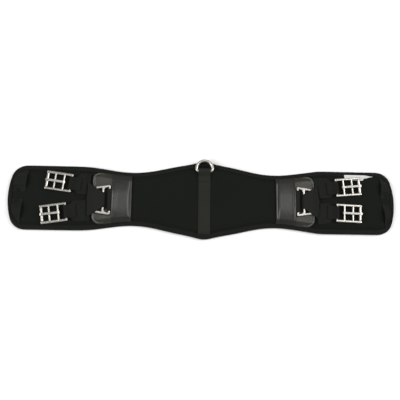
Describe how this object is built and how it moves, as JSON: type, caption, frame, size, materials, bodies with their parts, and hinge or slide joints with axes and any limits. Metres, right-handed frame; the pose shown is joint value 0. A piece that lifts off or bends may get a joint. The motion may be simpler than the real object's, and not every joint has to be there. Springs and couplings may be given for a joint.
{
  "type": "saddle girth",
  "caption": "Short padded saddle girth with a shaped band, roller buckles on elastic straps at each end, three-bar slides, leather patches and a middle dee ring.",
  "frame": {"origin": "middle of the lining's underside, which rests on a flat surface", "axes": "+X along the girth, +Y towards the edge with the dee ring, +Z out of the face turned away from the horse"},
  "size_m": [0.7944, 0.1648, 0.021],
  "materials": {
    "lining_fabric": "matte",
    "foam": "matte",
    "cover_fabric": "matte",
    "binding_tape": "matte",
    "webbing": "matte",
    "elastic": "matte",
    "leather": "satin",
    "polished_steel": "polished",
    "label_cloth": "matte"
  },
  "bodies": {
    "band": {"lining": "lining_fabric", "foam_core": "foam", "cover": "cover_fabric", "edge_binding": "binding_tape", "centre_strap": "webbing", "care_label": "label_cloth", "left_safe": "leather", "left_patch": "leather", "left_anchor_loop": "webbing", "right_safe": "leather", "right_patch": "leather", "right_anchor_loop": "webbing", "left_upper_keeper": "elastic", "left_lower_keeper": "elastic", "right_upper_keeper": "elastic", "right_lower_keeper": "elastic"},
    "ring": {"dee_ring": "polished_steel"},
    "left_harness": {"left_slide": "polished_steel", "left_yoke": "webbing", "left_upper_elastic": "elastic", "left_lower_elastic": "elastic"},
    "right_harness": {"right_slide": "polished_steel", "right_yoke": "webbing", "right_upper_elastic": "elastic", "right_lower_elastic": "elastic"},
    "left_upper_strap_end": {"left_upper_chape": "webbing"},
    "left_upper_buckle": {"left_upper_frame": "polished_steel"},
    "left_upper_buckle_tongue": {"left_upper_tongue": "polished_steel"},
    "left_upper_buckle_roller": {"left_upper_roller": "polished_steel"},
    "left_lower_strap_end": {"left_lower_chape": "webbing"},
    "left_lower_buckle": {"left_lower_frame": "polished_steel"},
    "left_lower_buckle_tongue": {"left_lower_tongue": "polished_steel"},
    "left_lower_buckle_roller": {"left_lower_roller": "polished_steel"},
    "right_upper_strap_end": {"right_upper_chape": "webbing"},
    "right_upper_buckle": {"right_upper_frame": "polished_steel"},
    "right_upper_buckle_tongue": {"right_upper_tongue": "polished_steel"},
    "right_upper_buckle_roller": {"right_upper_roller": "polished_steel"},
    "right_lower_strap_end": {"right_lower_chape": "webbing"},
    "right_lower_buckle": {"right_lower_frame": "polished_steel"},
    "right_lower_buckle_tongue": {"right_lower_tongue": "polished_steel"},
    "right_lower_buckle_roller": {"right_lower_roller": "polished_steel"}
  },
  "joints": [
    {"name": "dee_ring_flip", "type": "hinge", "parent": "band", "child": "ring", "pos_m": [0, 0.0595, 0.016], "axis": [1, 0, 0], "range_deg": [0, 165]},
    {"name": "left_harness_lift", "type": "hinge", "parent": "band", "child": "left_harness", "pos_m": [-0.192, -0.0045, 0.0166], "axis": [0, 1, 0], "range_deg": [0, 100]},
    {"name": "right_harness_lift", "type": "hinge", "parent": "band", "child": "right_harness", "pos_m": [0.192, -0.001, 0.0166], "axis": [0, -1, 0], "range_deg": [0, 100]},
    {"name": "left_upper_stretch", "type": "slide", "parent": "left_harness", "child": "left_upper_strap_end", "axis": [-0.9992, 0.0389, 0], "range_m": [0, 0.012], "stiffness_N_per_m": 2500, "deforming": ["left_upper_elastic"]},
    {"name": "left_upper_buckle_flip", "type": "hinge", "parent": "left_upper_strap_end", "child": "left_upper_buckle", "pos_m": [-0.2705, 0.0285, 0.0154], "axis": [0.1305, 0.9914, 0], "range_deg": [0, 90]},
    {"name": "left_upper_tongue_swing", "type": "hinge", "parent": "left_upper_buckle", "child": "left_upper_buckle_tongue", "pos_m": [-0.28517, 0.03043, 0.0154], "axis": [0.1305, 0.9914, 0], "range_deg": [0, 100]},
    {"name": "left_upper_roller_spin", "type": "hinge", "parent": "left_upper_buckle", "child": "left_upper_buckle_roller", "pos_m": [-0.31769, 0.03471, 0.0154], "axis": [0.1305, 0.9914, 0], "continuous": true},
    {"name": "left_lower_stretch", "type": "slide", "parent": "left_harness", "child": "left_lower_strap_end", "axis": [-0.9979, -0.0647, 0], "range_m": [0, 0.012], "stiffness_N_per_m": 2500, "deforming": ["left_lower_elastic"]},
    {"name": "left_lower_buckle_flip", "type": "hinge", "parent": "left_lower_strap_end", "child": "left_lower_buckle", "pos_m": [-0.2783, -0.0295, 0.0154], "axis": [-0.1478, 0.989, 0], "range_deg": [0, 90]},
    {"name": "left_lower_tongue_swing", "type": "hinge", "parent": "left_lower_buckle", "child": "left_lower_buckle_tongue", "pos_m": [-0.29294, -0.03169, 0.0154], "axis": [-0.1478, 0.989, 0], "range_deg": [0, 100]},
    {"name": "left_lower_roller_spin", "type": "hinge", "parent": "left_lower_buckle", "child": "left_lower_buckle_roller", "pos_m": [-0.32538, -0.03654, 0.0154], "axis": [-0.1478, 0.989, 0], "continuous": true},
    {"name": "right_upper_stretch", "type": "slide", "parent": "right_harness", "child": "right_upper_strap_end", "axis": [0.9982, 0.0594, 0], "range_m": [0, 0.012], "stiffness_N_per_m": 2500, "deforming": ["right_upper_elastic"]},
    {"name": "right_upper_buckle_flip", "type": "hinge", "parent": "right_upper_strap_end", "child": "right_upper_buckle", "pos_m": [0.274, 0.0295, 0.0154], "axis": [0.0872, -0.9962, 0], "range_deg": [0, 90]},
    {"name": "right_upper_tongue_swing", "type": "hinge", "parent": "right_upper_buckle", "child": "right_upper_buckle_tongue", "pos_m": [0.28874, 0.03079, 0.0154], "axis": [0.0872, -0.9962, 0], "range_deg": [0, 100]},
    {"name": "right_upper_roller_spin", "type": "hinge", "parent": "right_upper_buckle", "child": "right_upper_buckle_roller", "pos_m": [0.32142, 0.03365, 0.0154], "axis": [0.0872, -0.9962, 0], "continuous": true},
    {"name": "right_lower_stretch", "type": "slide", "parent": "right_harness", "child": "right_lower_strap_end", "axis": [0.9955, 0.0948, 0], "range_m": [0, 0.012], "stiffness_N_per_m": 2500, "deforming": ["right_lower_elastic"]},
    {"name": "right_lower_buckle_flip", "type": "hinge", "parent": "right_lower_strap_end", "child": "right_lower_buckle", "pos_m": [0.274, -0.0225, 0.0154], "axis": [-0.0436, -0.999, 0], "range_deg": [0, 90]},
    {"name": "right_lower_tongue_swing", "type": "hinge", "parent": "right_lower_buckle", "child": "right_lower_buckle_tongue", "pos_m": [0.28879, -0.02315, 0.0154], "axis": [-0.0436, -0.999, 0], "range_deg": [0, 100]},
    {"name": "right_lower_roller_spin", "type": "hinge", "parent": "right_lower_buckle", "child": "right_lower_buckle_roller", "pos_m": [0.32155, -0.02458, 0.0154], "axis": [-0.0436, -0.999, 0], "continuous": true}
  ]
}
